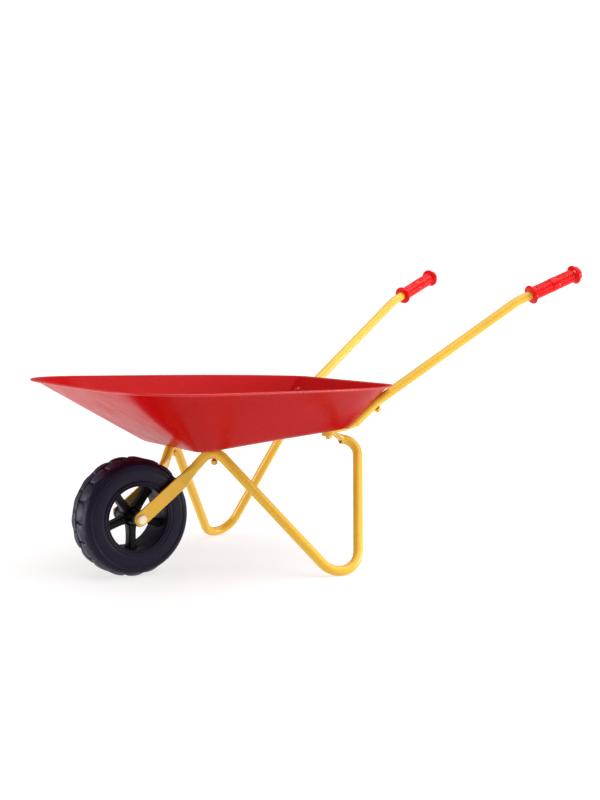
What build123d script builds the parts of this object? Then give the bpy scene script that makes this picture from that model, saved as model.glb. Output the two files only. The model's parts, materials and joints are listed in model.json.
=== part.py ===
"""Child's steel wheelbarrow: pressed tray, bent tube frame, ribbed grips and a lugged wheel.

Millimetres. Origin on the ground on the mid plane, half way along the barrow.
+Z is up, +X points to the handles, +Y is the left side when pushing towards -X.
"""
import os
from math import atan2, cos, pi, radians, sin, tan

from build123d import *

os.makedirs("parts", exist_ok=True)

# ---------------------------------------------------------------- driving sizes
# wheel
wheel_radius = 76.5          # over the lugs
wheel_width = 52.0
lug_count = 18               # per row
lug_height = 4.0
window_radius = 40.0         # opening in the sidewall that shows the spokes
spoke_count = 5
hub_radius = 13.0
shell_wall = 2.4             # moulded plastic thickness
axle_diameter = 8.0
axle_x = -279.8              # distance of the axle from the origin

# frame tube
tube_diameter = 13.0
tube_wall = 1.2
plate_width = 18.0           # flattened tube ends
plate_thickness = 3.0

# tray, its heights taken from the axle as everything else is
sheet = 1.2
floor_front_x = 58.8         # from the axle
floor_front_rise = 83.9
floor_front_half = 80.0
floor_rear_x = 278.0
floor_rear_rise = 105.1
floor_rear_half = 101.0
rim_front_x = -86.5          # nose, from the axle
rim_front_rise = 172.1
rim_rear_x = 346.5
rim_rear_rise = 162.4
rim_half = 200.5             # widest half width, and where that is
rim_half_x = 8.0
rim_waist_share = 0.955      # of the widest half width, half way along the side
rim_waist_x = 118.0
rim_hip_share = 0.860        # the same where the side turns in towards the rear
rim_hip_x = 234.0
rim_rear_half = 111.0
rim_hip_turn = 1.3           # inward run per unit length at the rear corner
rim_nose_bow = 13.0          # the nose stands this far in front of the corners
rim_front_radius = 84.0
rim_rear_radius = 7.0
floor_corner_radius = 16.0
rim_flange = 3.5
rim_bead = 1.5               # radius of the rolled edge

# leg tube, from the axle
fold_x = 60.0
fold_rise = 44.0
hump_x = 92.0
hump_y = 55.0
foot_x = 231.5
foot_y = 183.3
leg_top_x = 300.0
leg_top_y = 88.0
leg_top_rise = 91.5
hump_bend = 18.0
foot_bend = 31.0
leg_top_bend = 20.0

# handle tube, from the axle
floor_bolt_x = 255.0
floor_bolt_y = 82.0
handle_y = 88.8              # half spacing where it follows the rear wall
handle_wall_run = 63.0       # how far it follows the rear wall upwards
kink_standoff = 5.0          # how far it has drawn away from the wall by then
grip_bend_x = 543.7
grip_bend_y = 141.5
grip_bend_rise = 276.3
grip_pitch = 22.0            # rise of the grip, degrees
grip_splay = 12.3            # outward turn of the grip, degrees
grip_start = 23.0            # from the bend to the front flange

# grips
grip_length = 90.0
grip_flange_diameter = 28.0
grip_body_diameter = 18.6
grip_bulge_diameter = 20.8
grip_ribs = 12

# fasteners
bolt_diameter = 5.0
wall_bolt_run = 57.0         # rear wall bolt, measured up the wall from the floor

handle_wall_start = 17.0     # round tube starts this far up the wall
kink_bend = 34.0
grip_bend_radius = 60.0
grip_cap = 6.0               # grip material past the tube's end

# ---------------------------------------------------------------- clearances
bolt_clearance = 0.2         # radial, bolt in its hole
wheel_running = 0.06         # radial, wheel on its sleeve
side_gap = 0.4               # wheel to its side washers
tube_gap = 0.05              # tube to the sheet it is bolted to

# ---------------------------------------------------------------- derived sizes
# heights above the ground, from the heights above the axle
floor_front_z = wheel_radius + floor_front_rise
floor_rear_z = wheel_radius + floor_rear_rise
rim_front_z = wheel_radius + rim_front_rise
rim_rear_z = wheel_radius + rim_rear_rise
fold_z = wheel_radius + fold_rise
leg_top_z = wheel_radius + leg_top_rise
grip_bend_z = wheel_radius + grip_bend_rise
tube_radius = tube_diameter / 2
bolt_radius = bolt_diameter / 2
axle_radius = axle_diameter / 2
sleeve_radius = axle_radius + 1.5
half_width = wheel_width / 2
fork_washer = 3.0
fork_inner_y = half_width + side_gap + fork_washer
fork_y = fork_inner_y + plate_thickness / 2
floor_slope = atan2(floor_rear_z - floor_front_z, floor_rear_x - floor_front_x)
rim_slope = atan2(rim_rear_z - rim_front_z, rim_rear_x - rim_front_x)
wall_inset = rim_flange + rim_bead
wall_top_x = rim_rear_x - wall_inset * cos(rim_slope)
wall_top_z = rim_rear_z - wall_inset * sin(rim_slope)
wall_slope = atan2(wall_top_z - floor_rear_z, wall_top_x - floor_rear_x)
side_names = {1: "left", -1: "right"}


def at(x, y, z):
    """A point given from the axle, moved to the part's own origin."""
    return Vector(x + axle_x, y, z)


floor_dir = Vector(cos(floor_slope), 0, sin(floor_slope))
floor_up = Vector(-sin(floor_slope), 0, cos(floor_slope))
wall_dir = Vector(cos(wall_slope), 0, sin(wall_slope))
wall_up = Vector(-sin(wall_slope), 0, cos(wall_slope))
rim_dir = Vector(cos(rim_slope), 0, sin(rim_slope))
rim_up = Vector(-sin(rim_slope), 0, cos(rim_slope))


def under_floor(x, y, depth):
    """A point at this depth below the outside of the tray floor."""
    start = at(floor_front_x, y, floor_front_z)
    return start + floor_dir * ((x - floor_front_x) / cos(floor_slope)) - floor_up * depth


def behind_wall(run, y, depth):
    """A point this far up the rear wall and this deep behind its outside."""
    start = at(floor_rear_x, y, floor_rear_z)
    return start + wall_dir * run - wall_up * depth


def slope_plane(point, normal, side_dir):
    """A section plane whose X axis lies along side_dir as nearly as possible."""
    normal = normal.normalized()
    across = side_dir - normal * side_dir.dot(normal)
    return Plane(origin=point, x_dir=across, z_dir=normal)


def bent_wire(points, radii):
    """A wire through the corner points with an arc at each inner corner."""
    edges = []
    start = points[0]
    for index in range(1, len(points) - 1):
        corner = points[index]
        back = (points[index - 1] - corner).normalized()
        onward = (points[index + 1] - corner).normalized()
        half_angle = radians(back.get_angle(onward)) / 2
        reach = radii[index - 1] / tan(half_angle)
        arc_start = corner + back * reach
        arc_end = corner + onward * reach
        middle = (back + onward).normalized()
        depth = radii[index - 1] / sin(half_angle) - radii[index - 1]
        edges.append(Edge.make_line(start, arc_start))
        edges.append(Edge.make_three_point_arc(arc_start, corner + middle * depth, arc_end))
        start = arc_end
    edges.append(Edge.make_line(start, points[-1]))
    return Wire(edges)


# ================================================================ tray
def floor_outline(inset):
    """Corner points of the floor, in the floor plane measured from its front edge."""
    length = (floor_rear_x - floor_front_x) / cos(floor_slope)
    front = floor_front_half - inset
    rear = floor_rear_half - inset
    return [(inset, -front), (length - inset, -rear), (length - inset, rear), (inset, front)]


rim_length = (rim_rear_x - rim_front_x) / cos(rim_slope)


def rim_sketch(inset):
    """Outline of the tray mouth, in the rim plane measured from the nose."""
    side = [
        (rim_nose_bow + inset, rim_half - inset),
        (rim_half_x - rim_front_x, rim_half - inset),
        (rim_waist_x - rim_front_x, rim_waist_share * rim_half - inset),
        (rim_hip_x - rim_front_x, rim_hip_share * rim_half - inset),
        (rim_length - inset, rim_rear_half - inset),
    ]
    other = [(x, -y) for x, y in side]
    with BuildSketch(Plane.XY) as outline:
        with BuildLine():
            ThreePointArc(other[0], (inset, 0), side[0])
            Spline(side, tangents=[(1, 0), (1, -rim_hip_turn)])
            Line(side[-1], other[-1])
            Spline(other, tangents=[(1, 0), (1, rim_hip_turn)])
        make_face()
        fillet(outline.vertices().sort_by(Axis.X)[:2], rim_front_radius - inset)
        fillet(outline.vertices().sort_by(Axis.X)[-2:], rim_rear_radius)
    return outline.sketch


def floor_sketch(inset):
    with BuildSketch(Plane.XY) as outline:
        with BuildLine():
            Polyline(*floor_outline(inset), close=True)
        make_face()
        fillet(outline.vertices().sort_by(Axis.X)[:2], floor_corner_radius)
        fillet(outline.vertices().sort_by(Axis.X)[-2:], rim_rear_radius)
    return outline.sketch


floor_plane = Plane(origin=at(floor_front_x, 0, floor_front_z), x_dir=floor_dir, z_dir=floor_up)
rim_plane = Plane(origin=at(rim_front_x, 0, rim_front_z), x_dir=rim_dir, z_dir=rim_up)


hole_radius = bolt_radius + bolt_clearance
floor_front_bolt_x = hump_x
rear_bolts = {side: under_floor(floor_bolt_x, side * floor_bolt_y, 0) for side in (1, -1)}
front_bolts = {side: under_floor(floor_front_bolt_x, side * hump_y, 0) for side in (1, -1)}
wall_bolts = {side: behind_wall(wall_bolt_run, side * handle_y, 0) for side in (1, -1)}
hole_reach = 8.0             # half length of a hole cutter through the sheet

with BuildPart() as tray:
    with BuildSketch(floor_plane):
        add(floor_sketch(0))
    with BuildSketch(rim_plane):
        add(rim_sketch(wall_inset))
    loft(ruled=True)
    with BuildSketch(rim_plane):
        add(rim_sketch(rim_bead))
    extrude(amount=-sheet)
    rim_wire = (rim_plane.offset(-sheet / 2) * rim_sketch(rim_bead)).faces()[0].outer_wire()
    with BuildSketch(Plane(origin=rim_wire @ 0, z_dir=rim_wire % 0)):
        Circle(rim_bead)
    sweep(path=rim_wire)
    with BuildSketch(floor_plane.offset(sheet)):
        add(floor_sketch(0.7 * sheet))
    with BuildSketch(rim_plane.offset(0.01)):
        add(rim_sketch(wall_inset + 1.5 * sheet))
    loft(ruled=True, mode=Mode.SUBTRACT)
    for side in (1, -1):
        with BuildSketch(Plane(origin=rear_bolts[side] - floor_up * hole_reach, z_dir=floor_up)):
            Circle(hole_radius)
        extrude(amount=2 * hole_reach, mode=Mode.SUBTRACT)
        with BuildSketch(Plane(origin=front_bolts[side] - floor_up * hole_reach, z_dir=floor_up)):
            Circle(hole_radius)
        extrude(amount=2 * hole_reach, mode=Mode.SUBTRACT)
        with BuildSketch(Plane(origin=wall_bolts[side] - wall_up * hole_reach, z_dir=wall_up)):
            Circle(hole_radius)
        extrude(amount=2 * hole_reach, mode=Mode.SUBTRACT)
tray.part.label = "tray"
export_step(tray.part, "parts/tray.step")


def export_pair(left_part, name):
    """Writes a left-hand piece and its mirror image across the mid plane."""
    for word in ("left", "right"):
        with BuildPart() as one:
            add(left_part)
            if word == "right":
                mirrored = mirror(left_part, about=Plane.XZ, mode=Mode.PRIVATE)
                add(mirrored, mode=Mode.REPLACE)
        one.part.label = name + "_" + word
        export_step(one.part, "parts/" + name + "_" + word + ".step")


# ================================================================ frame tubes
def plate_section(plane):
    """Cross section of a flattened tube on a plane whose X axis is its width."""
    with BuildSketch(plane) as section:
        SlotOverall(plate_width, plate_thickness)
    return section.sketch


def round_section(plane, radius):
    with BuildSketch(plane) as section:
        Circle(radius)
    return section.sketch


def add_rod(points, radii, radius, mode):
    """Round rod along the corner points, added to or cut from the open part builder."""
    for edge in bent_wire(points, radii).edges():
        section = round_section(Plane(origin=edge @ 0, z_dir=edge % 0), radius)
        sweep(section, path=Wire([edge]), mode=mode)


def add_change(plate_point, plate_dir, round_point, round_dir, across):
    """The stretch where a flattened end turns into the round tube."""
    flat = plate_section(slope_plane(plate_point, plate_dir, across))
    inside = round_point + round_dir.normalized() * weld_overlap
    size = tube_diameter - weld_overlap
    with BuildSketch(slope_plane(inside, round_dir, across)) as full:
        SlotOverall(size + slot_extra, size)
    loft([flat, full.sketch])


def add_flat(near, far, up_dir):
    """Flattened tube end: a plate from near to far with a rounded tip at near."""
    along = (far - near).normalized()
    length = (far - near).length + weld_overlap
    plane = Plane(origin=near - up_dir * (plate_thickness / 2), x_dir=along, z_dir=up_dir)
    with BuildSketch(plane) as plate:
        Circle(plate_width / 2)
        with Locations((length / 2, 0)):
            Rectangle(length, plate_width)
    extrude(plate.sketch, amount=plate_thickness)


def cut_hole(point, direction, radius, reach):
    """Round hole centred on the point, running reach each way."""
    with BuildSketch(Plane(origin=point - direction * reach, z_dir=direction)) as hole:
        Circle(radius)
    extrude(hole.sketch, amount=2 * reach, mode=Mode.SUBTRACT)


leg_plate_depth = tube_gap + 1.5 * plate_thickness
handle_plate_depth = tube_gap + 0.5 * plate_thickness
flat_reach = 8.0             # flat length behind the bolt
flat_overrun = 1.5           # the handle's flat end runs this far past the floor
flat_change = 13.0           # length over which the tube turns flat
weld_overlap = 0.5
slot_extra = 0.1             # keeps the round end of a flattened stretch a true slot
tube_depth = tube_radius + tube_gap
hump_gap = 0.3               # tube below the floor at the hump, besides the tube gap
hump_apex = under_floor(hump_x, hump_y, tube_depth + hump_gap)


def leg_points():
    """Corner points of the left leg tube, from the fork arm to under the rear of the floor."""
    arm = at(fold_x, fork_y, fold_z)
    hump = at(hump_x, hump_y, hump_z)
    foot = at(foot_x, foot_y, foot_z)
    top = at(leg_top_x, leg_top_y, leg_top_z)
    start = arm + (hump - arm) * arm_round_start
    end = under_floor(floor_bolt_x + flat_reach + flat_change, leg_end_y, leg_end_depth)
    return [start, hump, foot, top, end]


def bend_depth(before, corner, after, radius):
    """Direction and length from a corner point to the middle of its arc."""
    back = (before - corner).normalized()
    onward = (after - corner).normalized()
    half_angle = radians(back.get_angle(onward)) / 2
    return (back + onward).normalized(), radius / sin(half_angle) - radius


def lowest_of_foot(height):
    """Lowest point of the foot bend's centre line when its corner is at this height."""
    hump = at(hump_x, hump_y, hump_z)
    foot = at(foot_x, foot_y, height)
    top = at(leg_top_x, leg_top_y, leg_top_z)
    inward, depth = bend_depth(hump, foot, top, foot_bend)
    centre = foot + inward * (depth + foot_bend)
    normal = (hump - foot).cross(top - foot).normalized()
    return centre.Z - foot_bend * (1 - normal.Z ** 2) ** 0.5


def hump_height():
    """Corner height that puts the top of the hump bend against the floor."""
    height = hump_apex.Z
    for _ in range(20):
        hump = at(hump_x, hump_y, height)
        arm = at(fold_x, fork_y, fold_z)
        foot = at(foot_x, foot_y, foot_start)
        height = hump_apex.Z + bend_depth(arm, hump, foot, hump_bend)[1]
    return height


arm_round_start = 0.42       # share of the fork arm that is flattened
leg_end_y = 84.0
leg_end_depth = 15.0
foot_start = -34.0           # first guess for the height of the foot's corner point
hump_z = hump_height()
foot_z = foot_start
for _ in range(20):
    foot_z = foot_z + tube_radius - lowest_of_foot(foot_z)
across = Vector(0, 1, 0)
bore_radius = tube_radius - tube_wall

leg_line = leg_points()
leg_bends = [hump_bend, foot_bend, leg_top_bend]
leg_bolt = under_floor(floor_bolt_x, floor_bolt_y, leg_plate_depth)
leg_flat_end = under_floor(floor_bolt_x + flat_reach, floor_bolt_y, leg_plate_depth)
arm_fold = at(fold_x, fork_y, fold_z)
arm_tip = at(0, fork_y, wheel_radius)
arm_dir = (leg_line[1] - leg_line[0]).normalized()
fold_dir = ((arm_fold - arm_tip).normalized() + arm_dir).normalized()
with BuildPart() as leg:
    add_rod(leg_line, leg_bends, tube_radius, Mode.ADD)
    add_change(leg_flat_end, floor_dir, leg_line[-1], leg_line[-2] - leg_line[-1], across)
    add_flat(leg_bolt, leg_flat_end, floor_up)
    add_change(arm_fold, fold_dir, leg_line[0], arm_dir, fold_dir.cross(across))
    add_flat(arm_tip, arm_fold, across)
    add_rod(leg_line, leg_bends, bore_radius, Mode.SUBTRACT)
    cut_hole(arm_tip, across, axle_radius + bolt_clearance, plate_width)
    cut_hole(leg_bolt, floor_up, hole_radius, plate_width / 2)
    cut_hole(under_floor(hump_x, hump_y, tube_depth), floor_up, hole_radius, tube_diameter)
export_pair(leg.part, "leg_tube")

grip_dir = Vector(cos(radians(grip_pitch)) * cos(radians(grip_splay)),
                  cos(radians(grip_pitch)) * sin(radians(grip_splay)),
                  sin(radians(grip_pitch)))
grip_bend = at(grip_bend_x, grip_bend_y, grip_bend_z)
handle_line = [
    behind_wall(handle_wall_start, handle_y, tube_depth),
    behind_wall(handle_wall_run, handle_y, tube_depth + kink_standoff),
    grip_bend,
    grip_bend + grip_dir * (grip_start + grip_length - grip_cap),
]
handle_bends = [kink_bend, grip_bend_radius]
handle_dir = (handle_line[1] - handle_line[0]).normalized()
bolt_share = (wall_bolt_run - handle_wall_start) / (handle_wall_run - handle_wall_start)
wall_standoff = kink_standoff * bolt_share
handle_bolt = under_floor(floor_bolt_x, floor_bolt_y, handle_plate_depth)
handle_flat_end = under_floor(floor_rear_x + flat_overrun, floor_bolt_y, handle_plate_depth)
with BuildPart() as handle:
    add_rod(handle_line, handle_bends, tube_radius, Mode.ADD)
    add_change(handle_flat_end, floor_dir, handle_line[0], handle_dir, across)
    add_flat(handle_bolt, handle_flat_end, floor_up)
    add_rod(handle_line, handle_bends, bore_radius, Mode.SUBTRACT)
    cut_hole(handle_bolt, floor_up, hole_radius, plate_width / 2)
    wall_hole = behind_wall(wall_bolt_run, handle_y, tube_depth + wall_standoff)
    cut_hole(wall_hole, wall_up, hole_radius, tube_diameter)
export_pair(handle.part, "handle_tube")


# ================================================================ grips
flange_radius = grip_flange_diameter / 2
body_radius = grip_body_diameter / 2
bulge_radius = grip_bulge_diameter / 2
flange_width = 4.5
end_flange_start = grip_length - 12.0
bulge_start = 0.40 * grip_length
bulge_end = 0.52 * grip_length
cap_radius = 11.0
rib_height = 0.7
rib_width = 2.0

front = Plane(origin=grip_bend + grip_dir * grip_start, x_dir=(0, 1, 0), z_dir=grip_dir)
profile_plane = Plane(origin=front.origin, x_dir=front.x_dir, z_dir=-front.y_dir)
with BuildPart() as grip:
    with BuildSketch(profile_plane):
        with BuildLine():
            Polyline(
                (0, 0),
                (flange_radius - 1, 0),
                (flange_radius, 1),
                (flange_radius, flange_width - 1),
                (flange_radius - 1, flange_width),
                (body_radius, flange_width + 1),
                (body_radius, bulge_start - 1),
                (bulge_radius, bulge_start),
                (bulge_radius, bulge_end),
                (body_radius, bulge_end + 1),
                (body_radius, end_flange_start - 1),
                (flange_radius - 1, end_flange_start),
                (flange_radius, end_flange_start + 1),
                (flange_radius, end_flange_start + flange_width - 1),
                (flange_radius - 1, end_flange_start + flange_width),
                (cap_radius, end_flange_start + flange_width + 1),
            )
            Polyline(
                (cap_radius, end_flange_start + flange_width + 1),
                (0.9 * cap_radius, grip_length - 3.0),
                (0.6 * cap_radius, grip_length - 1.0),
                (0, grip_length),
            )
            Line((0, grip_length), (0, 0))
        make_face()
    revolve(axis=Axis(front.origin, front.z_dir))
    for rib_from, rib_to in ((flange_width, bulge_start), (bulge_end, end_flange_start)):
        with BuildSketch(front.offset(rib_from)):
            with PolarLocations(body_radius - 0.5 * rib_height, grip_ribs):
                Rectangle(3 * rib_height, rib_width)
        extrude(amount=rib_to - rib_from + 0.3)
    with BuildSketch(front):
        Circle(tube_radius + tube_gap)
    extrude(amount=grip_length - grip_cap + tube_gap, mode=Mode.SUBTRACT)
export_pair(grip.part, "grip")

# ================================================================ wheel
tread_radius = wheel_radius - lug_height
hub_bore = sleeve_radius + wheel_running
rim_depth = 1.2              # how far the window lip stands out
spoke_width = 9.0
spoke_from = 5.0             # spoke disc, measured from the mid plane
spoke_to = 15.0
lug_from = 2.2
lug_to = 0.84 * half_width
lug_length = 0.80 * 2 * pi * tread_radius / lug_count
wheel_centre = at(0, 0, wheel_radius)

for side in (1, -1):
    profile_plane = Plane(origin=wheel_centre, x_dir=(0, side, 0), z_dir=(side, 0, 0))
    face_plane = Plane(origin=wheel_centre, x_dir=(1, 0, 0), z_dir=(0, side, 0))
    side_face = half_width - rim_depth
    barrel = window_radius + shell_wall
    with BuildPart() as wheel_half:
        with BuildSketch(profile_plane):
            with BuildLine():
                Polyline(
                    (0, tread_radius),
                    (0.72 * half_width, tread_radius - 1),
                    (side_face - 1.5, tread_radius - 7),
                    (side_face, tread_radius - 16),
                    (side_face, barrel + 4),
                    (half_width, barrel + 2),
                    (half_width, window_radius),
                    (0, window_radius),
                    (0, barrel),
                    (side_face - shell_wall, barrel),
                    (side_face - shell_wall, tread_radius - 16),
                    (side_face - 1.5 - shell_wall, tread_radius - 8),
                    (0.66 * half_width, tread_radius - 1 - shell_wall),
                    (0, tread_radius - shell_wall),
                    close=True,
                )
            make_face()
        revolve(axis=Axis(wheel_centre, (0, 1, 0)))
        with BuildSketch(face_plane.offset(spoke_from)):
            spoke_length = window_radius - hub_radius + 2
            with PolarLocations((window_radius + hub_radius) / 2, spoke_count, side * 90):
                Rectangle(spoke_length, spoke_width)
            Circle(hub_radius - 1, mode=Mode.SUBTRACT)
        extrude(amount=spoke_to - spoke_from)
        with BuildSketch(face_plane):
            Circle(hub_radius)
        extrude(amount=half_width)
        with BuildSketch(face_plane.offset(lug_from)):
            with PolarLocations(tread_radius, lug_count, (1 - side) * 90 / lug_count):
                Rectangle(4 * lug_height, lug_length)
            Circle(wheel_radius, mode=Mode.INTERSECT)
            Circle(tread_radius - 1.8, mode=Mode.SUBTRACT)
        extrude(amount=lug_to - lug_from)
        with BuildSketch(face_plane):
            Circle(hub_bore)
        extrude(amount=half_width, mode=Mode.SUBTRACT)
    name = "wheel_half_" + side_names[side]
    wheel_half.part.label = name
    export_step(wheel_half.part, "parts/" + name + ".step")

# ================================================================ axle
fork_outer_y = fork_inner_y + plate_thickness
axle_head_radius = 6.2
axle_head_height = 4.5
axle_nut_flats = 13.0
axle_nut_height = 6.5
axle_end = 3.0
shaft_fit = 0.05             # radial, for sleeves and nuts on their shafts
washer_radius = 10.0

with BuildPart() as hub_sleeve:
    with BuildSketch(Plane(origin=at(0, -half_width - side_gap, wheel_radius), z_dir=(0, 1, 0))):
        Circle(sleeve_radius)
        Circle(axle_radius + shaft_fit, mode=Mode.SUBTRACT)
    extrude(amount=2 * (half_width + side_gap))
hub_sleeve.part.label = "hub_sleeve"
export_step(hub_sleeve.part, "parts/hub_sleeve.step")

with BuildPart() as axle_washers:
    for side in (1, -1):
        inner_face = at(0, side * (half_width + side_gap), wheel_radius)
        with BuildSketch(Plane(origin=inner_face, z_dir=(0, side, 0))):
            Circle(washer_radius)
            Circle(axle_radius + shaft_fit, mode=Mode.SUBTRACT)
        extrude(amount=fork_washer)
axle_washers.part.label = "axle_washers"
export_step(axle_washers.part, "parts/axle_washers.step")

with BuildPart() as axle_bolt:
    head_face = at(0, -fork_outer_y, wheel_radius)
    with BuildSketch(Plane(origin=head_face, z_dir=(0, 1, 0))):
        Circle(axle_radius)
    extrude(amount=2 * fork_outer_y + axle_nut_height + axle_end)
    with BuildSketch(Plane(origin=head_face, z_dir=(0, -1, 0))):
        Circle(axle_head_radius)
    extrude(amount=axle_head_height)
    fillet(axle_bolt.faces().sort_by(Axis.Y)[0].edges(), 0.6 * axle_head_height)
axle_bolt.part.label = "axle_bolt"
export_step(axle_bolt.part, "parts/axle_bolt.step")

with BuildPart() as axle_nut:
    with BuildSketch(Plane(origin=at(0, fork_outer_y, wheel_radius), z_dir=(0, 1, 0))):
        RegularPolygon(axle_nut_flats / 2, 6, major_radius=False)
        Circle(axle_radius + shaft_fit, mode=Mode.SUBTRACT)
    extrude(amount=axle_nut_height)
axle_nut.part.label = "axle_nut"
export_step(axle_nut.part, "parts/axle_nut.step")

# ================================================================ frame fasteners
head_radius = 5.0
head_height = 2.5
small_washer_radius = 4.8
small_washer = 0.8
nut_flats = 8.0
nut_height = 3.6
bolt_end = 0.9
saddle_drop = 2.9            # washer sits this far below the hump, on its inner curve
wall_seat = 1.25 * sheet     # the pressed wall is a little thicker along this line
wall_seat_drop = 0.9         # the same behind the bend in the handle tube

fastener_sets = {
    "floor_front": (front_bolts, floor_up, sheet, tube_gap + tube_diameter + saddle_drop),
    "floor_rear": (rear_bolts, floor_up, sheet, tube_gap + 2 * plate_thickness),
    "wall": (wall_bolts, wall_up, wall_seat, wall_standoff + tube_diameter + wall_seat_drop),
}
for where, (seats, up, head_seat, depth) in fastener_sets.items():
    with BuildPart() as bolts:
        for seat in seats.values():
            with BuildSketch(Plane(origin=seat + up * head_seat, z_dir=up)):
                Circle(head_radius)
            extrude(amount=head_height)
            with BuildSketch(Plane(origin=seat + up * head_seat, z_dir=-up)):
                Circle(bolt_radius)
            extrude(amount=head_seat + depth + small_washer + nut_height + bolt_end)
        tops = bolts.faces().filter_by(lambda face: face.normal_at().dot(up) > 0.999)
        tops = tops.sort_by(lambda face: -face.center().dot(up))[:2]
        fillet(tops.edges(), 0.8 * head_height)
    bolts.part.label = where + "_bolts"
    export_step(bolts.part, "parts/" + where + "_bolts.step")
    with BuildPart() as washers:
        for seat in seats.values():
            with BuildSketch(Plane(origin=seat - up * depth, z_dir=-up)):
                Circle(small_washer_radius)
                Circle(bolt_radius + shaft_fit, mode=Mode.SUBTRACT)
            extrude(amount=small_washer)
    washers.part.label = where + "_washers"
    export_step(washers.part, "parts/" + where + "_washers.step")
    with BuildPart() as nuts:
        for seat in seats.values():
            with BuildSketch(Plane(origin=seat - up * (depth + small_washer), z_dir=-up)):
                RegularPolygon(nut_flats / 2, 6, major_radius=False)
                Circle(bolt_radius + shaft_fit, mode=Mode.SUBTRACT)
            extrude(amount=nut_height)
    nuts.part.label = where + "_nuts"
    export_step(nuts.part, "parts/" + where + "_nuts.step")
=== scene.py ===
import json
import math

import bmesh
import bpy
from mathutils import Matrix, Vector
from mathutils.bvhtree import BVHTree


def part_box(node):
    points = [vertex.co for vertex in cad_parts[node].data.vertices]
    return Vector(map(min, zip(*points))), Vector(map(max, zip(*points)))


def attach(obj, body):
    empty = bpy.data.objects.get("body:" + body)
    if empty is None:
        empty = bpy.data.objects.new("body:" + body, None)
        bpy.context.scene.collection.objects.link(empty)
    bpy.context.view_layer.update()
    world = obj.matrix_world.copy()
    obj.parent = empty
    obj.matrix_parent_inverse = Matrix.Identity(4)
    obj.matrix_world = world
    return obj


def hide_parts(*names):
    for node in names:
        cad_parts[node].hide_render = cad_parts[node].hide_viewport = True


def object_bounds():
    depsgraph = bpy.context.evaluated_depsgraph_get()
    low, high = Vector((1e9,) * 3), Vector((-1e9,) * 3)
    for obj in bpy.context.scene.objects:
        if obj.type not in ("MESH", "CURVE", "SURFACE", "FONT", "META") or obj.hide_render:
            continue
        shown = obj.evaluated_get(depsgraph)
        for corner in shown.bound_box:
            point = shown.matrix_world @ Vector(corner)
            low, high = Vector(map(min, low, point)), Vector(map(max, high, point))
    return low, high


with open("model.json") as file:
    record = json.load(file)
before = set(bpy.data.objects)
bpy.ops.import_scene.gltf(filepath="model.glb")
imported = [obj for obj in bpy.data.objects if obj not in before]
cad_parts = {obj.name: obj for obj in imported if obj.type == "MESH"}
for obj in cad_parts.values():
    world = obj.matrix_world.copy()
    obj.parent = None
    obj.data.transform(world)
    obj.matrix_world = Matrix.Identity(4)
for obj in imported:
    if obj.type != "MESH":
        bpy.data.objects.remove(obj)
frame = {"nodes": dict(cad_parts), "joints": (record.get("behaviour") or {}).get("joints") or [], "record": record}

cad_low, cad_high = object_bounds()
MM = 0.001
WIDE = Vector((0, 1, 0))
UP = Vector((0, 0, 1))
record = frame["record"]
nodes = frame["nodes"]
axle = Vector(frame["joints"][0]["pos_m"])
wheel_radius = axle.z


# ------------------------------------------------------------------ materials
class Shader:
    """A Principled material with a few procedural layers."""

    def __init__(self, name, color, roughness):
        self.mat = bpy.data.materials.new(name)
        self.mat.use_nodes = True
        self.nodes = self.mat.node_tree.nodes
        self.links = self.mat.node_tree.links
        self.bsdf = self.nodes["Principled BSDF"]
        self.bsdf.inputs["Base Color"].default_value = (*color, 1)
        self.bsdf.inputs["Roughness"].default_value = roughness
        self.place = self.nodes.new("ShaderNodeTexCoord").outputs["Object"]
        self.normal = None

    def noise(self, scale, detail=3.0, rough=0.5, stretch=None):
        """Noise in object space; scale is in features per metre."""
        node = self.nodes.new("ShaderNodeTexNoise")
        node.inputs["Scale"].default_value = scale
        node.inputs["Detail"].default_value = detail
        node.inputs["Roughness"].default_value = rough
        source = self.place
        if stretch:
            mapping = self.nodes.new("ShaderNodeMapping")
            mapping.inputs["Scale"].default_value = stretch
            self.links.new(source, mapping.inputs["Vector"])
            source = mapping.outputs["Vector"]
        self.links.new(source, node.inputs["Vector"])
        return node.outputs["Fac"]

    def ramp(self, value, low, high, out_low, out_high):
        """Maps low..high to out_low..out_high."""
        node = self.nodes.new("ShaderNodeMapRange")
        for key, number in (("From Min", low), ("From Max", high),
                            ("To Min", out_low), ("To Max", out_high)):
            node.inputs[key].default_value = number
        self.links.new(value, node.inputs["Value"])
        return node.outputs["Result"]

    def tint(self, factor, other):
        """Mixes another colour over what the base colour is now."""
        node = self.nodes.new("ShaderNodeMix")
        node.data_type = "RGBA"
        sockets = [s for s in node.inputs if s.type == "RGBA"]
        base = self.bsdf.inputs["Base Color"]
        if base.is_linked:
            self.links.new(base.links[0].from_socket, sockets[0])
        else:
            sockets[0].default_value = base.default_value
        sockets[1].default_value = (*other, 1)
        self.links.new(factor, node.inputs["Factor"])
        out = [s for s in node.outputs if s.type == "RGBA"][0]
        self.links.new(out, base)

    def rough(self, value):
        """Drives the roughness."""
        self.links.new(value, self.bsdf.inputs["Roughness"])

    def bump(self, height, distance, strength):
        """Adds a layer of relief; distance is in metres."""
        node = self.nodes.new("ShaderNodeBump")
        node.inputs["Strength"].default_value = strength
        node.inputs["Distance"].default_value = distance
        self.links.new(height, node.inputs["Height"])
        if self.normal:
            self.links.new(self.normal, node.inputs["Normal"])
        self.normal = node.outputs["Normal"]
        self.links.new(self.normal, self.bsdf.inputs["Normal"])


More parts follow.
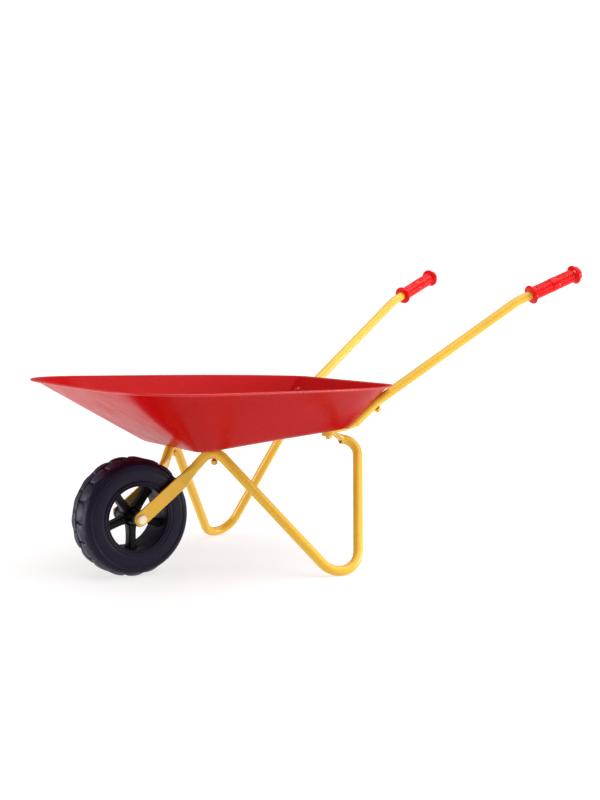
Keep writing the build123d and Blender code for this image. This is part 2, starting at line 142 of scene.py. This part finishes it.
def enamel(name, color, deep, worn, roughness, gloss):
    """Gloss enamel on steel: orange peel, slow colour drift, faint dull patches and specks."""
    s = Shader(name, color, roughness)
    s.tint(s.ramp(s.noise(9.0, 2.0), 0.35, 0.70, 0.0, 0.55), deep)
    s.tint(s.ramp(s.noise(620.0, 4.0, 0.7), 0.66, 0.80, 0.0, 0.35), worn)
    s.rough(s.ramp(s.noise(34.0, 5.0, 0.6), 0.3, 0.75, 0.85 * roughness, 1.35 * roughness))
    s.bump(s.noise(14.0, 1.0), 0.0012, 0.10)
    s.bump(s.noise(520.0, 2.0), 0.00006, 0.25)
    s.bsdf.inputs["Specular IOR Level"].default_value = gloss
    return s.mat


def moulded(name, color, light, roughness, gloss):
    """Injection moulded plastic: fine spark texture, scuffs and slow shade change."""
    s = Shader(name, color, roughness)
    s.tint(s.ramp(s.noise(22.0, 4.0, 0.6), 0.40, 0.72, 0.0, 0.45), light)
    s.tint(s.ramp(s.noise(260.0, 5.0, 0.7, (1, 1, 4)), 0.62, 0.78, 0.0, 0.35), light)
    s.rough(s.ramp(s.noise(70.0, 4.0), 0.3, 0.7, 0.8 * roughness, 1.25 * roughness))
    s.bump(s.noise(1500.0, 2.0), 0.00005, 0.2)
    s.bsdf.inputs["Specular IOR Level"].default_value = gloss
    return s.mat


def plated(name, color, roughness):
    """Yellow passivated zinc plate: soft crystalline mottling with fine turning marks."""
    s = Shader(name, color, roughness)
    s.tint(s.ramp(s.noise(420.0, 4.0, 0.7), 0.35, 0.75, 0.0, 0.7), (0.20, 0.16, 0.08))
    s.rough(s.ramp(s.noise(240.0, 3.0), 0.3, 0.7, 0.7 * roughness, 1.5 * roughness))
    s.bump(s.noise(1800.0, 2.0), 0.00004, 0.5)
    s.bsdf.inputs["Metallic"].default_value = 0.9
    return s.mat


RED = (0.420, 0.0025, 0.0030)
tray_paint = enamel("tray_enamel", RED, (0.36, 0.0015, 0.003), (0.48, 0.007, 0.008), 0.24, 0.028)
# the rolled bead's enamel: its extra gloss is real, its lighter red is a painted highlight along the rim
edge_highlight_paint = enamel("edge_highlight_enamel", (0.50, 0.008, 0.009), (0.40, 0.003, 0.004),
                    (0.56, 0.03, 0.03), 0.26, 0.40)
bolt_paint = enamel("bolt_enamel", (0.52, 0.006, 0.008), (0.36, 0.003, 0.006),
                    (0.3, 0.05, 0.04), 0.24, 0.4)
frame_paint = enamel("frame_enamel", (0.770, 0.465, 0.048), (0.69, 0.38, 0.028),
                     (0.84, 0.56, 0.12), 0.24, 0.30)
grip_plastic = moulded("grip_plastic", (0.700, 0.0015, 0.003), (0.76, 0.004, 0.005), 0.24, 0.16)
wheel_plastic = moulded("wheel_plastic", (0.0060, 0.0036, 0.0150), (0.011, 0.008, 0.024),
                        0.44, 0.16)
# the lugs take a lighter copy of the wheel plastic: its higher gloss is real, its lighter colour is a painted
# sheen on the tread
lug_sheen_plastic = moulded("lug_sheen_plastic", (0.014, 0.010, 0.026), (0.044, 0.032, 0.064), 0.52, 0.34)
# the hub and spokes take a near-black copy of the wheel plastic: painted shade deep inside the wheel
core_shade_plastic = moulded("core_shade_plastic", (0.0022, 0.0022, 0.0030), (0.005, 0.005, 0.007), 0.40, 0.15)
washer_plastic = moulded("washer_plastic", (0.012, 0.012, 0.014), (0.03, 0.03, 0.03), 0.45, 0.3)
zinc = plated("zinc_plate", (0.42, 0.33, 0.16), 0.38)
cap_paint = moulded("cap_lacquer", (0.900, 0.800, 0.560), (0.92, 0.86, 0.68), 0.30, 0.4)


# ------------------------------------------------------------------ mesh helpers
def smooth(obj, angle):
    """Smooth shading that keeps edges sharper than the angle."""
    for face in obj.data.polygons:
        face.use_smooth = True
    obj.data.update()
    for edge in obj.data.edges:
        edge.use_edge_sharp = False
    mesh = bmesh.new()
    mesh.from_mesh(obj.data)
    for edge in mesh.edges:
        edge.smooth = len(edge.link_faces) != 2 or edge.calc_face_angle(0) < angle
    mesh.to_mesh(obj.data)
    mesh.free()


def new_piece(name, mesh, material, body):
    """An object from this bmesh, riding on the body."""
    data = bpy.data.meshes.new(name)
    bmesh.ops.recalc_face_normals(mesh, faces=mesh.faces)
    mesh.to_mesh(data)
    mesh.free()
    obj = bpy.data.objects.new(name, data)
    bpy.context.scene.collection.objects.link(obj)
    data.materials.append(material)
    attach(obj, body)
    return obj


def skin(mesh, rings, closed_ring=True, closed_path=False):
    """Quads between rows of points; each row may be a closed loop."""
    rows = [[mesh.verts.new(p) for p in ring] for ring in rings]
    count = len(rows[0])
    last = len(rows) if closed_path else len(rows) - 1
    for i in range(last):
        a, b = rows[i], rows[(i + 1) % len(rows)]
        for j in range(count if closed_ring else count - 1):
            k = (j + 1) % count
            mesh.faces.new((a[j], a[k], b[k], b[j]))
    return rows


def soft_corner(before, corner, after, size, steps):
    """Points of a rounded corner that starts and ends this far from it."""
    start = corner + (before - corner).normalized() * size
    end = corner + (after - corner).normalized() * size
    points = []
    for i in range(steps + 1):
        t = i / steps
        points.append(start * (1 - t) ** 2 + corner * (2 * t * (1 - t)) + end * t ** 2)
    return points


def rounded_path(points, size, steps=5):
    """A 2-D or 3-D polyline with its inner corners rounded."""
    path = [points[0]]
    for before, corner, after in zip(points, points[1:], points[2:]):
        reach = min(size, 0.45 * (before - corner).length, 0.45 * (after - corner).length)
        path += soft_corner(before, corner, after, reach, steps)
    return path + [points[-1]]


def filled(values):
    """Closed list with its gaps (rays that went out through a bolt hole) bridged."""
    count = len(values)
    result = list(values)
    for i in range(count):
        if values[i] is None:
            back = next(k for k in range(1, count) if values[i - k] is not None)
            on = next(k for k in range(1, count) if values[(i + k) % count] is not None)
            result[i] = (values[i - back] * on + values[(i + on) % count] * back) / (on + back)
    return result


def averaged(values, passes):
    """Closed list of numbers, each pass a 1-2-1 average with its neighbours."""
    for _ in range(passes):
        values = [
            0.25 * values[i - 1] + 0.5 * values[i] + 0.25 * values[(i + 1) % len(values)]
            for i in range(len(values))
        ]
    return values


# ------------------------------------------------------------------ tray
def surface_tree(node):
    """The CAD node's faces, for ray casts."""
    data = nodes[node].data
    return BVHTree.FromPolygons([v.co for v in data.vertices],
                                [p.vertices for p in data.polygons])


TRAY_TURNS = 360
WALL_ROWS = 9
WALL_LOW, WALL_HIGH = 0.07, 0.96   # height shares of the lowest and highest wall rows
WALL_PASSES = 4                    # of smoothing round each wall row
FLOOR_ROWS = (0.10, 0.30, 0.50, 0.70, 0.86)
FLOOR_SPOTS = (0.45, 0.78)         # shares of the length where the floor is sampled
MIDDLE_SPOT = 0.58                 # and where the rays start
RIM_INSET = 3 * MM                 # how far inside each end the rim is sampled
ABOVE = 0.05                       # start of the sampling rays over the tray
SHEET = 1.2 * MM
FLOOR_FILLET = 11 * MM
LIP_BEND = 2.2 * MM                # where the wall turns out into the flange
LIP_REACH = 10 * MM               # any length past that bend
BEAD = 1.5 * MM                    # radius of the rolled edge
BEAD_DROP = 0.6 * MM
BEAD_STEPS = 11
BEAD_START = math.radians(150)
BEAD_STEP = math.radians(30)
BEAD_ROWS = BEAD_STEPS + 1         # rows that take the edge paint: glossier than the tray, and a lighter red that is a painted highlight along the rim
FLANGE = 5.3 * MM


def build_tray():
    """One pressed sheet: floor, fillet, walls, flange and rolled rim, read off the CAD tray."""
    tree = surface_tree("tray")
    low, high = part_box("tray")
    length = high.x - low.x

    def drop(x):
        return tree.ray_cast(Vector((x, 0, high.z + ABOVE)), -UP)[0]

    front_rim, rear_rim = drop(low.x + RIM_INSET), drop(high.x - RIM_INSET)
    floor_a, floor_b = [drop(low.x + share * length) for share in FLOOR_SPOTS]
    rim_slope = (rear_rim - front_rim).normalized()
    floor_slope = (floor_b - floor_a).normalized()
    centre_x = low.x + MIDDLE_SPOT * length
    floor_mid = floor_a + floor_slope * ((centre_x - floor_a.x) / floor_slope.x)
    rim_mid = front_rim + rim_slope * ((centre_x - front_rim.x) / rim_slope.x)
    rim_up = rim_slope.cross(WIDE)

    def reach(t, angle):
        """Distance from the middle line to the inner wall at this height share and angle."""
        along = floor_slope.lerp(rim_slope, t).normalized()
        start = floor_mid.lerp(rim_mid, t)
        way = along * math.cos(angle) + WIDE * math.sin(angle)
        hit = tree.ray_cast(start, way)
        return hit[3], start, way

    angles = [2 * math.pi * i / TRAY_TURNS for i in range(TRAY_TURNS)]
    shares = [WALL_LOW + (WALL_HIGH - WALL_LOW) * k / (WALL_ROWS - 1)
              for k in range(WALL_ROWS)]
    walls = []
    for t in shares:
        hits = [reach(t, a) for a in angles]
        radii = averaged(filled([h[0] for h in hits]), WALL_PASSES)
        walls.append([start + way * r for r, (_, start, way) in zip(radii, hits)])
    rows = []
    for i in range(TRAY_TURNS):
        column = [row[i] for row in walls]
        step = (column[1] - column[0]) / (shares[1] - shares[0])
        base = column[0] - step * shares[0]
        inward = base - floor_mid
        base = floor_mid + floor_slope * inward.dot(floor_slope) + WIDE * inward.y
        lift = (column[-1] - column[-2]) / (shares[-1] - shares[-2])
        top = column[-1] + lift * (1 - shares[-1])
        rows.append((base, column, top))
    # outward direction of the rim at each point, in the rim plane
    tops = [row[2] for row in rows]
    outs = []
    for i in range(TRAY_TURNS):
        along = tops[(i + 1) % TRAY_TURNS] - tops[i - 1]
        outs.append(along.cross(rim_up).normalized())
    profile = []
    for i in range(TRAY_TURNS):
        base, column, top = rows[i]
        points = [floor_mid.lerp(base, s) for s in FLOOR_ROWS]
        points += soft_corner(floor_mid, base, column[2], FLOOR_FILLET, 7)
        points += column[2:-1]
        out, up = outs[i], rim_up
        points += soft_corner(column[-1], top, top + out * LIP_REACH, LIP_BEND, 4)
        roll = top + out * FLANGE - up * BEAD_DROP
        for step in range(BEAD_STEPS):
            turn = BEAD_START - step * BEAD_STEP
            points.append(roll + out * (BEAD * math.cos(turn)) + up * (BEAD * math.sin(turn)))
        profile.append(points)
    mesh = bmesh.new()
    rings = [[profile[i][k] for i in range(TRAY_TURNS)] for k in range(len(profile[0]))]
    made = skin(mesh, rings)
    middle = mesh.verts.new(floor_mid)
    for j in range(TRAY_TURNS):
        mesh.faces.new((made[0][j], made[0][(j + 1) % TRAY_TURNS], middle))
    # the bead's faces take the edge paint, whose lighter red is a painted highlight
    rolled = len(profile[0]) - BEAD_ROWS
    for k, face in enumerate(mesh.faces):
        if rolled * TRAY_TURNS <= k < (len(profile[0]) - 1) * TRAY_TURNS:
            face.material_index = 1
    obj = new_piece("tray_sheet", mesh, tray_paint, "frame")
    obj.data.materials.append(edge_highlight_paint)
    # the sheet is thickened away from its normals, so the floor's have to point up
    near_floor = floor_mid.z + 2 * MM
    down = sum(1 for p in obj.data.polygons if p.normal.z < 0 and p.center.z < near_floor)
    if down > TRAY_TURNS:
        obj.data.flip_normals()
    solid = obj.modifiers.new("sheet", "SOLIDIFY")
    solid.thickness = SHEET
    solid.offset = -1
    for face in obj.data.polygons:
        face.use_smooth = True
    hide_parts("tray")


build_tray()

# ------------------------------------------------------------------ wheel
WHEEL_TURNS = 144
LUGS = 18
SPOKES = 5
LUG_HEIGHT = 2.6 * MM          # of the rounded lobes over the moulded tread
GROOVE = 0.05                  # half width of the middle groove, as a share of the half width
PROFILE_ROUND = 1.4 * MM       # on every corner of the tyre's outline
LUG_ACROSS = 6                 # faces over one lug, across the tread
LUG_AROUND = 8                 # and round it
LUG_ROOT = 7.0 * MM            # how deep a lug reaches below its top
LUG_SHOULDER = 5.6 * MM        # how far it falls away over the shoulder
LUG_ROUND = 1.7 * MM
LUG_SHARE, LUG_TAPER = 0.475, 0.05     # half width in pitches at the groove, and its loss
LUG_SPAN, LUG_SCALLOP = 0.80, 0.13     # reach across the half tread, and less at the sides
LUG_CROWN = 0.30                       # share of the height lost at the sides
RIM_DEPTH = 33.4 * MM          # from the tread in to the edge of the opening
HUB_RADIUS = 10.5 * MM
HUB_BORE = 5.6 * MM
HUB_TURNS = 64
SPOKE_ROWS = 9
SPOKE_HALF = 4.6 * MM
SPOKE_FLARE = 1.8 * MM         # extra half width where it meets the hub and the rim
SPOKE_ROUND = 2.4 * MM
SPOKE_DEPTH, SPOKE_DIP = 0.31, 0.03    # shares of the half width, thinnest mid way


def axle_point(axial, radial, angle):
    """A point round the axle; the angle is 0 towards the handles and turns up."""
    return axle + Vector((radial * math.cos(angle), axial, radial * math.sin(angle)))


def wheel_profile(half):
    """Outline of one half from the tread's middle over the shoulder to inside the opening."""
    tread = wheel_radius - LUG_HEIGHT
    points = [
        (0.0, tread - 0.6 * MM), (0.40 * half, tread), (0.66 * half, tread - 0.5 * MM),
        (0.80 * half, tread - 2.2 * MM), (0.885 * half, tread - 4.6 * MM),
        (0.920 * half, tread - 6.8 * MM), (0.915 * half, tread - 7.8 * MM),
        (0.962 * half, tread - 8.4 * MM), (0.962 * half, tread - 9.4 * MM),
        (0.925 * half, tread - 10.2 * MM), (0.950 * half, tread - 11.6 * MM),
        (0.968 * half, tread - 17 * MM), (0.972 * half, tread - 22 * MM),
        (0.962 * half, tread - 24.6 * MM), (0.940 * half, tread - 25.4 * MM),
        (0.960 * half, tread - 26.2 * MM), (0.992 * half, tread - 27.2 * MM),
        (0.995 * half, tread - 28.6 * MM), (0.955 * half, tread - 29.5 * MM),
        (0.955 * half, tread - 30.1 * MM), (0.985 * half, tread - 30.8 * MM),
        (0.985 * half, tread - 31.9 * MM), (0.935 * half, tread - 32.6 * MM),
        (0.60 * half, tread - 33.0 * MM), (0.0, tread - RIM_DEPTH),
    ]
    return rounded_path([Vector((a, r)) for a, r in points], PROFILE_ROUND, 3)


def build_wheel_side(side, word):
    """One half of the wheel: tyre shell, lugs and core; side is 1 for left, -1 for right."""
    low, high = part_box("wheel_half_" + word)
    half = max(abs(low.y), abs(high.y))
    outline = wheel_profile(half)
    mesh = bmesh.new()
    rings = []
    for i in range(WHEEL_TURNS):
        angle = 2 * math.pi * i / WHEEL_TURNS
        rings.append([axle_point(side * p.x, p.y, angle) for p in outline])
    skin(mesh, rings, closed_ring=False, closed_path=True)
    shell = new_piece("tyre_shell_" + word, mesh, wheel_plastic, "wheel")
    for face in shell.data.polygons:
        face.use_smooth = True
    build_lugs(side, word, half)
    build_core(side, word, half)
    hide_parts("wheel_half_" + word)


def lug_grid(middle, half):
    """(axial, radial, angle) of the points over one lug, row by row round the wheel."""
    tread = wheel_radius - LUG_HEIGHT
    spread = 2 * math.pi / LUGS
    grid = []
    for i in range(LUG_AROUND + 1):
        u = i / LUG_AROUND * 2 - 1
        row = []
        for j in range(LUG_ACROSS + 1):
            v = j / LUG_ACROSS
            # widest at the groove, narrower over the shoulder, with scalloped ends
            width = LUG_SHARE - LUG_TAPER * v
            reach = LUG_SPAN - LUG_SCALLOP * u ** 2
            axial = (GROOVE + reach * v) * half
            top = tread + LUG_HEIGHT * (1 - LUG_CROWN * u ** 2)
            if v > 0.5:
                top -= (v - 0.5) / 0.5 * LUG_SHOULDER
            row.append((axial, top, middle + u * width * spread))
        grid.append(row)
    return grid


def build_lugs(side, word, half):
    """One row of rounded lugs that run over the shoulder, each a bevelled block on the curve."""
    mesh = bmesh.new()
    shift = 0.0 if side > 0 else 0.5
    around, across = LUG_AROUND, LUG_ACROSS
    rim = ([(i, 0) for i in range(around)] + [(around, j) for j in range(across)]
           + [(i, across) for i in range(around, 0, -1)]
           + [(0, j) for j in range(across, 0, -1)])
    for n in range(LUGS):
        top, root = [], []
        for row in lug_grid(2 * math.pi * (n + shift) / LUGS, half):
            top.append([mesh.verts.new(axle_point(side * a, r, g)) for a, r, g in row])
            root.append([mesh.verts.new(axle_point(side * a, r - LUG_ROOT, g))
                         for a, r, g in row])
        for i in range(around):
            for j in range(across):
                mesh.faces.new((top[i][j], top[i + 1][j], top[i + 1][j + 1], top[i][j + 1]))
                mesh.faces.new((root[i][j], root[i][j + 1], root[i + 1][j + 1], root[i + 1][j]))
        for (i, j), (m, k) in zip(rim, rim[1:] + rim[:1]):
            mesh.faces.new((top[i][j], root[i][j], root[m][k], top[m][k]))
    # lugs in the lighter plastic, a painted sheen
    obj = new_piece("tread_lugs_" + word, mesh, lug_sheen_plastic, "wheel")
    bevel = obj.modifiers.new("round", "BEVEL")
    bevel.width = LUG_ROUND
    bevel.segments = 3
    bevel.limit_method = "ANGLE"
    bevel.angle_limit = math.radians(35)
    smooth(obj, math.radians(70))


def build_core(side, word, half):
    """Hub and rounded spokes, set deep in the wheel; a spoke widens at both its ends."""
    mesh = bmesh.new()
    hub = HUB_RADIUS
    opening = wheel_radius - LUG_HEIGHT - RIM_DEPTH
    hub_line = rounded_path([Vector(p) for p in (
        (0.0, hub + 2.5 * MM), (0.26 * half, hub + 2.5 * MM), (0.36 * half, hub),
        (0.985 * half, hub - 1.0 * MM), (0.985 * half, HUB_BORE), (0.0, HUB_BORE))], 1.2 * MM, 3)
    rings = []
    for i in range(HUB_TURNS):
        angle = 2 * math.pi * i / HUB_TURNS
        rings.append([axle_point(side * p.x, p.y, angle) for p in hub_line])
    skin(mesh, rings, closed_ring=False, closed_path=True)
    for n in range(SPOKES):
        angle = 2 * math.pi * n / SPOKES - math.pi / 2
        out = Vector((math.cos(angle), 0, math.sin(angle)))
        wide = Vector((-math.sin(angle), 0, math.cos(angle)))
        rings = []
        for k in range(SPOKE_ROWS):
            t = k / (SPOKE_ROWS - 1)
            radial = (hub - 1 * MM) + (opening + 2.5 * MM - hub) * t
            half_w = SPOKE_HALF + SPOKE_FLARE * (2 * t - 1) ** 4
            depth = (SPOKE_DEPTH - SPOKE_DIP * math.sin(math.pi * t)) * half
            corners = [(-half_w, 0.0), (half_w, 0.0), (half_w, depth), (-half_w, depth)]
            loop = []
            for c in range(4):
                before = Vector(corners[c - 1])
                corner = Vector(corners[c])
                after = Vector(corners[(c + 1) % 4])
                if c >= 2:
                    loop += soft_corner(before, corner, after, SPOKE_ROUND, 4)
                else:
                    loop.append(corner)
            rings.append([axle + out * radial + wide * p.x + WIDE * (side * p.y) for p in loop])
        skin(mesh, rings)
    # hub and spokes in the darker plastic, a painted shade
    obj = new_piece("wheel_core_" + word, mesh, core_shade_plastic, "wheel")
    smooth(obj, math.radians(50))


build_wheel_side(1, "left")
build_wheel_side(-1, "right")


# ------------------------------------------------------------------ grips
GRIP_TRIM = 0.6 * MM           # shorter than the CAD grip, to stay inside its box
FLANGE_RADIUS = 13.8 * MM
BODY_RADIUS = 9.0 * MM
BULGE_RADIUS = 9.9 * MM
GRIP_BORE = 6.6 * MM
RIBS = 12
RIB_HEIGHT = 0.9 * MM
RIBS_START = 6.4 * MM          # behind the front flange
RIBS_END = 14 * MM             # short of the rear end
BULGE_FROM, BULGE_TO = 0.385, 0.54
GRIP_TURNS = 144
GRIP_STEP = 1.6 * MM


def grip_axis(word):
    """Front centre, direction and length of a grip, from its mount and its CAD box."""
    mount = [m for m in record["mounts"] if m["name"] == "grip_hold_" + word][0]
    way = Vector(mount["axis"]).normalized()
    centre = Vector(mount["pos_m"])
    reach = [(v.co - centre).dot(way) for v in nodes["grip_" + word].data.vertices]
    return centre + way * min(reach), way, max(reach) - min(reach)


def build_grip(word):
    """A turned plastic grip: flanges at both ends, ribbed body, plain bulge and domed cap."""
    front, way, length = grip_axis(word)
    side = way.cross(UP).normalized()
    top = side.cross(way).normalized()
    length -= GRIP_TRIM
    flange, body, bulge = FLANGE_RADIUS, BODY_RADIUS, BULGE_RADIUS
    ribs_end = length - RIBS_END
    line = [
        (0.0, GRIP_BORE), (0.0, flange - 1.2 * MM), (1.3 * MM, flange), (3.4 * MM, flange),
        (4.6 * MM, flange - 1.6 * MM), (RIBS_START, body), (length * BULGE_FROM, body),
        (length * 0.405, bulge), (length * 0.50, bulge + 0.1 * MM), (length * 0.52, bulge),
        (length * BULGE_TO, body), (ribs_end, body),
        (length - 12.4 * MM, flange - 1.6 * MM), (length - 11.2 * MM, flange),
        (length - 8.6 * MM, flange), (length - 7.4 * MM, flange - 1.4 * MM),
        (length - 6.6 * MM, 10.6 * MM), (length - 2.6 * MM, 10.0 * MM),
        (length - 0.7 * MM, 7.0 * MM), (length, 3.0 * MM), (length, 0.0),
    ]
    outline = rounded_path([Vector(p) for p in line], 1.2 * MM, 4)
    fine = []
    for a, b in zip(outline, outline[1:]):
        parts = max(1, int((b - a).length / GRIP_STEP))
        fine += [a.lerp(b, k / parts) for k in range(parts)]
    fine.append(outline[-1])
    rings = []
    for i in range(GRIP_TURNS):
        angle = 2 * math.pi * i / GRIP_TURNS
        wave = max(0.0, math.cos(RIBS * angle)) ** 0.7
        out = side * math.cos(angle) + top * math.sin(angle)
        ring = []
        for p in fine:
            radial = p.y
            ribbed = (RIBS_START < p.x < length * BULGE_FROM
                      or length * BULGE_TO < p.x < ribs_end)
            if ribbed and p.y <= body + 0.2 * MM:
                radial += RIB_HEIGHT * wave
            ring.append(front + way * p.x + out * radial)
        rings.append(ring)
    mesh = bmesh.new()
    skin(mesh, rings, closed_ring=False, closed_path=True)
    bmesh.ops.remove_doubles(mesh, verts=mesh.verts, dist=0.01 * MM)
    obj = new_piece("hand_grip_" + word, mesh, grip_plastic, "frame")
    smooth(obj, math.radians(60))
    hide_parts("grip_" + word)


build_grip("left")
build_grip("right")

# ------------------------------------------------------------------ carried-over CAD pieces
finishes = {
    "leg_tube_left": frame_paint, "leg_tube_right": frame_paint,
    "handle_tube_left": frame_paint, "handle_tube_right": frame_paint,
    "hub_sleeve": zinc, "axle_washers": washer_plastic, "axle_bolt": cap_paint, "axle_nut": zinc,
}
for where in ("floor_front", "floor_rear", "wall"):
    finishes[where + "_bolts"] = bolt_paint
    finishes[where + "_washers"] = frame_paint
    finishes[where + "_nuts"] = frame_paint
for name, material in finishes.items():
    node = nodes[name]
    node.data.materials.clear()
    node.data.materials.append(material)

# ------------------------------------------------------------------ floor, light and camera
FLOOR_SIZE = 12.0
FLOOR_GAP = 0.4 * MM           # under the feet and the wheel
FLOOR_GLOW = 0.72              # keeps the floor pale where the object shades it
# each light: place from the object's middle, size, and watts
KEY_PLACE, KEY_SIZE, KEY_POWER = Vector((1.8, -1.4, 0.10)), (1.2, 0.5), 34
RIM_PLACE, RIM_SIZE, RIM_POWER = Vector((-1.7, 0.6, -0.02)), (0.9, 0.34), 18
SKY_STRENGTH = 3.7
SKY_SIZE = math.radians(75)
SKY_TILT = (math.radians(14), math.radians(12), 0)
ROOM_LIT, ROOM_SEEN = 0.24, 1.10   # world strength for lighting, and to the camera


def build_floor():
    """The pale floor, which is not part of the object."""
    mesh = bmesh.new()
    bmesh.ops.create_grid(mesh, x_segments=1, y_segments=1, size=FLOOR_SIZE)
    data = bpy.data.meshes.new("floor")
    mesh.to_mesh(data)
    mesh.free()
    floor = bpy.data.objects.new("floor", data)
    floor.location.z = cad_low.z - FLOOR_GAP
    bpy.context.scene.collection.objects.link(floor)
    s = Shader("pale_floor", (0.28, 0.28, 0.28), 0.65)
    s.tint(s.ramp(s.noise(1.5, 2.0), 0.3, 0.7, 0.0, 0.3), (0.30, 0.30, 0.30))
    s.bsdf.inputs["Emission Color"].default_value = (1, 1, 1, 1)
    s.bsdf.inputs["Emission Strength"].default_value = FLOOR_GLOW
    data.materials.append(s.mat)


def add_area(name, place, aim, size, power):
    """A rectangular light that faces a point."""
    light = bpy.data.lights.new(name, "AREA")
    light.shape = "RECTANGLE"
    light.size, light.size_y = size
    light.energy = power
    obj = bpy.data.objects.new(name, light)
    obj.location = place
    obj.rotation_mode = "QUATERNION"
    obj.rotation_quaternion = (aim - place).to_track_quat("-Z", "Y")
    bpy.context.scene.collection.objects.link(obj)


build_floor()
centre = (cad_low + cad_high) / 2
add_area("key", centre + KEY_PLACE, centre, KEY_SIZE, KEY_POWER)
add_area("rim", centre + RIM_PLACE, centre, RIM_SIZE, RIM_POWER)
sky_light = bpy.data.lights.new("overhead", "SUN")
sky_light.energy = SKY_STRENGTH
sky_light.angle = SKY_SIZE
overhead = bpy.data.objects.new("overhead", sky_light)
overhead.rotation_euler = SKY_TILT
bpy.context.scene.collection.objects.link(overhead)

# the room is white to look at and a dimmer grey to be lit by
world = bpy.data.worlds.new("studio")
world.use_nodes = True
room = world.node_tree
seen = room.nodes.new("ShaderNodeLightPath").outputs["Is Camera Ray"]
level = room.nodes.new("ShaderNodeMapRange")
level.inputs["To Min"].default_value = ROOM_LIT
level.inputs["To Max"].default_value = ROOM_SEEN
room.links.new(seen, level.inputs["Value"])
room.nodes["Background"].inputs["Color"].default_value = (1, 1, 1, 1)
room.links.new(level.outputs["Result"], room.nodes["Background"].inputs["Strength"])
bpy.context.scene.world = world
bpy.context.scene.view_settings.view_transform = "Standard"

# Three-quarter view of the right-hand side from ahead of the wheel, looking slightly down.
VIEW_TURN = math.radians(34.03)
VIEW_DIP = math.radians(4.773)
CAMERA_FROM_AXLE = Vector((-0.6768, -1.3942, 0.2784))
LENS, SENSOR = 54.0, 36.0      # millimetres
camera_data = bpy.data.cameras.new("camera")
camera_data.sensor_width = SENSOR
camera_data.lens = LENS
camera = bpy.data.objects.new("camera", camera_data)
camera.location = axle + CAMERA_FROM_AXLE
forward = Vector((math.sin(VIEW_TURN) * math.cos(VIEW_DIP),
                  math.cos(VIEW_TURN) * math.cos(VIEW_DIP), -math.sin(VIEW_DIP)))
camera.rotation_mode = "QUATERNION"
camera.rotation_quaternion = forward.to_track_quat("-Z", "Y")
bpy.context.scene.collection.objects.link(camera)
bpy.context.scene.camera = camera
